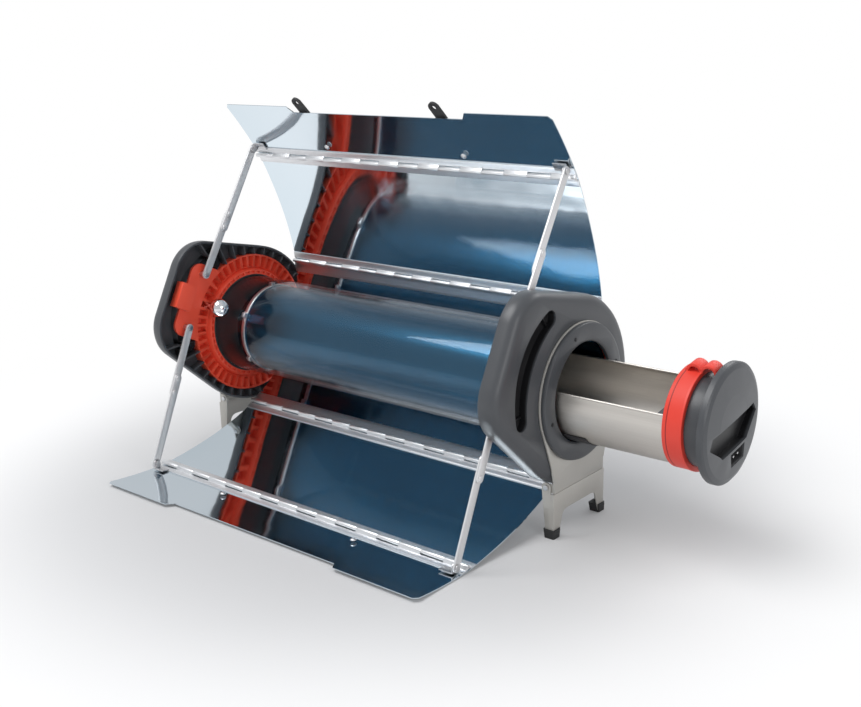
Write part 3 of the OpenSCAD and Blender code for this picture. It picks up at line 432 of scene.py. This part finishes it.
# Hinge rods, pins, brackets and screws. Bright drawn or pressed steel: the rods run through
# the hinges' knuckles and the pins are headed over; the bezels' screws are blackened.
steel_skin = Finish("Bright steel", Base_Color=(0.62, 0.62, 0.63), Roughness=0.28, Metallic=1.0)
steel_skin.vary("Roughness", 0.22 + 0.16 * steel_skin.noise(400.0, 3.0))
steel_pieces = (
    ("root_rod_upper", "chassis"), ("root_rod_lower", "chassis"), ("edge_rod_upper", "wing_upper"),
    ("edge_rod_lower", "wing_lower"), ("stay_pivots_right", "chassis"), ("stay_pivots_left", "chassis"),
    ("stay_brackets_upper", "flap_up"), ("stay_brackets_lower", "flap_low"), ("latch_anchors", "flap_up"),
    ("latch_keepers", "flap_low"), ("leg_hinge_pins_right", "stand"), ("leg_hinge_pins_left", "stand"),
    ("tube_clip", "chassis"), ("power_pins", "tray"))
for node, body in steel_pieces:
    merged_copy(node + "_metal", node, body, steel_skin, 0.0002)
screw_skin = Finish("Blackened screws", Base_Color=(0.035, 0.035, 0.038), Roughness=0.4, Metallic=0.6)
screw_skin.vary("Roughness", 0.34 + 0.16 * screw_skin.noise(400.0, 3.0))
for side in ("right", "left"):
    merged_copy(f"bezel_screws_{side}_metal", f"bezel_screws_{side}", "chassis", screw_skin, 0.0002)


# Rivets through the flaps. Domed steel heads on the mirror side, which hold the latches and
# their keepers on the back; each is half a ball pressed flatter.
knee, chord, chord_in = Vector((0.07685, 0.20699)), Vector((0.90520, 0.42499)), Vector((0.42499, -0.90520))
rivet_r, rivet_flat, rivet_x, rivet_in, rivet_off = 0.0034, 0.62, 0.105, 0.020, 0.0006
for up, flap in ((1, "flap_up"), (-1, "flap_low")):
    for sign in (1, -1):
        bpy.ops.object.select_all(action="DESELECT")
        bpy.ops.mesh.primitive_uv_sphere_add(segments=32, ring_count=16, radius=rivet_r)
        rivet = bpy.context.active_object
        rivet.name = f"{flap}_rivet_{sign}"
        bpy.ops.object.mode_set(mode="EDIT")
        bpy.ops.mesh.bisect(plane_co=(0, 0, 0), plane_no=(0, 0, 1), clear_inner=True, use_fill=True)
        bpy.ops.mesh.select_all(action="SELECT")
        bpy.ops.transform.resize(value=(1, 1, rivet_flat))
        bpy.ops.object.mode_set(mode="OBJECT")
        spot = knee + rivet_in * chord + rivet_off * chord_in
        in_y, in_z = -chord_in.x, up * chord_in.y
        on_flap = Matrix(((sign, 0, 0), (0, -up * in_z, in_y), (0, up * in_y, in_z))).to_4x4()
        rivet.data.transform(Matrix.Translation(tube_axis) @ Matrix.Rotation(-aim, 4, "X")
                             @ Matrix.Translation((sign * rivet_x, -spot.x, up * spot.y)) @ on_flap)
        bpy.ops.object.mode_set(mode="EDIT")
        bpy.ops.mesh.select_all(action="SELECT")
        bpy.ops.mesh.normals_make_consistent(inside=False)
        bpy.ops.object.mode_set(mode="OBJECT")
        rivet.data.materials.append(steel_skin.material)
        bpy.ops.object.shade_smooth_by_angle(angle=math.radians(50))
        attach(rivet, flap)


# Sighting ball. A turned and chromed steel ball on a stalk, screwed into the left liner; the
# stalk is drawn out of the ball's cap that faces the liner.
ball_r, stalk_start, stalk_long, ball_x, ball_front = 0.0118, 0.93, 0.0245, -0.226, 0.079
ball_skin = Finish("Polished chrome", Base_Color=(0.75, 0.75, 0.77), Roughness=0.06, Metallic=1.0)
ball_skin.vary("Roughness", 0.04 + 0.06 * ball_skin.noise(150.0, 3.0))
bpy.ops.object.select_all(action="DESELECT")
bpy.ops.mesh.primitive_uv_sphere_add(segments=64, ring_count=40, radius=ball_r)
ball = bpy.context.active_object
ball.name = "ball_and_stalk"
bpy.ops.object.mode_set(mode="EDIT")
bpy.ops.transform.rotate(value=math.radians(90), orient_axis="Y", center_override=(0, 0, 0))
bpy.ops.mesh.select_all(action="DESELECT")
bpy.ops.object.mode_set(mode="OBJECT")
for face in ball.data.polygons:
    face.select = face.center.x < -ball_r * stalk_start
bpy.ops.object.mode_set(mode="EDIT")
bpy.ops.mesh.select_mode(type="FACE")
bpy.ops.mesh.extrude_region_move(TRANSFORM_OT_translate={"value": (-stalk_long, 0, 0)})
bpy.ops.mesh.select_all(action="SELECT")
bpy.ops.transform.translate(value=(ball_x, -ball_front, 0))
bpy.ops.mesh.normals_make_consistent(inside=False)
bpy.ops.object.mode_set(mode="OBJECT")
ball.data.transform(Matrix.Translation(tube_axis) @ Matrix.Rotation(-aim, 4, "X"))
ball.data.materials.append(ball_skin.material)
bpy.ops.object.shade_smooth_by_angle(angle=math.radians(40))
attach(ball, "chassis")
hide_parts("ball_stud")


# Stand and latches. Brackets and legs are folded sheet steel, powder coated in a warm satin
# silver; the legs taper down to pushed-on rubber boots. The latches are rubber straps.
leg_skin = Finish("Satin silver coat", Base_Color=(0.50, 0.48, 0.45), Roughness=0.42, Metallic=0.35)
leg_skin.vary("Base Color", leg_skin.wire.mix((0.46, 0.445, 0.41), (0.54, 0.525, 0.49),
                                              leg_skin.noise(30.0, 4.0)))
leg_skin.bump(leg_skin.noise(1600.0, 2.0), 0.00004, 0.4)
leg_outer_x, leg_outer_y, draw_x, draw_y = 0.2683, 0.0493, 0.34, 0.28
leg_top_z, leg_drop, arch_half, arch_soft = 0.050, 0.048, 0.023, 0.007
boot_squash = 0.7


def taper(piece, sign, squash):
    """Draws the legs in towards their outer corners, more and more down to the floor."""
    for point in piece.data.vertices:
        down = min(max((leg_top_z - point.co.z) / leg_drop, 0), 1)
        in_leg = min(max((abs(point.co.y) - arch_half) / arch_soft, 0), 1)
        from_x, from_y = leg_outer_x - abs(point.co.x), leg_outer_y - abs(point.co.y)
        point.co.x = sign * (leg_outer_x - from_x * (1 - draw_x * down))
        point.co.y = math.copysign(leg_outer_y - from_y * (1 - draw_y * down * in_leg), point.co.y)
        point.co.z *= squash


for sign, side in ((1, "right"), (-1, "left")):
    merged_copy(f"bracket_{side}", f"leg_bracket_{side}", "stand", leg_skin, 0.0004)
    leg = merged_copy(f"leg_{side}", f"leg_frame_{side}", f"leg_{side}", leg_skin, 0.0004)
    taper(leg, sign, 1)
    boots = merged_copy(f"boots_{side}", f"foot_boots_{side}", f"leg_{side}",
                        rubber_skin, 0.0008)
    taper(boots, sign, boot_squash)
    merged_copy(f"latch_{side}", f"latch_strap_{side}", f"latch_{side}", rubber_skin, 0.0005)


# Tray. Stainless sheet rolled to a trough and brushed along its length, with a heater pad under
# it, a black socket in the lid and a soft orange-red silicone band that seals the tube's mouth.
tray_skin = Finish("Brushed stainless", Base_Color=(0.62, 0.59, 0.55), Roughness=0.3, Metallic=1.0)
tray_lines = tray_skin.noise(1.0, 3.0, tray_skin.stretched((9.0, 1800.0, 1800.0)))
tray_skin.vary("Roughness", 0.26 + 0.2 * tray_lines)
tray_skin.vary("Base Color", tray_skin.wire.mix((0.56, 0.53, 0.49), (0.68, 0.65, 0.61), tray_lines))
tray_skin.bump(tray_lines, 0.00005, 0.4)
merged_copy("trough", "cooking_tray", "tray", tray_skin, 0.0002)
pad_skin = Finish("Matt black", Base_Color=(0.02, 0.02, 0.022), Roughness=0.6)
pad_skin.bump(pad_skin.noise(900.0, 2.0), 0.00005, 0.4)
merged_copy("pad_under_trough", "heater_pad", "tray", pad_skin, 0.0002)
merged_copy("socket_shell", "power_socket", "tray", pad_skin, 0.0003)
groove_start, groove_end = (0.3966, 0.3969), (0.3977, 0.3980)
band_skin = Finish("Orange-red silicone", Base_Color=(0.80, 0.05, 0.03), Roughness=0.46)
band_along = band_skin.place.axis("X")
# Painted shade: a narrow darker red line round the band stands for the shade in a groove.
painted_groove_shade = band_along.rise(*groove_start) * (1.0 - band_along.rise(*groove_end))
band_plain = band_skin.wire.mix((0.72, 0.042, 0.026), (0.84, 0.062, 0.036), band_skin.noise(30.0, 3.0))
band_skin.vary("Base Color", band_skin.wire.mix(band_plain, (0.3, 0.012, 0.01), painted_groove_shade))
band_skin.bump(band_skin.noise(700.0, 2.0), 0.00004, 0.4)
merged_copy("band", "tray_band", "tray", band_skin, 0.0006)
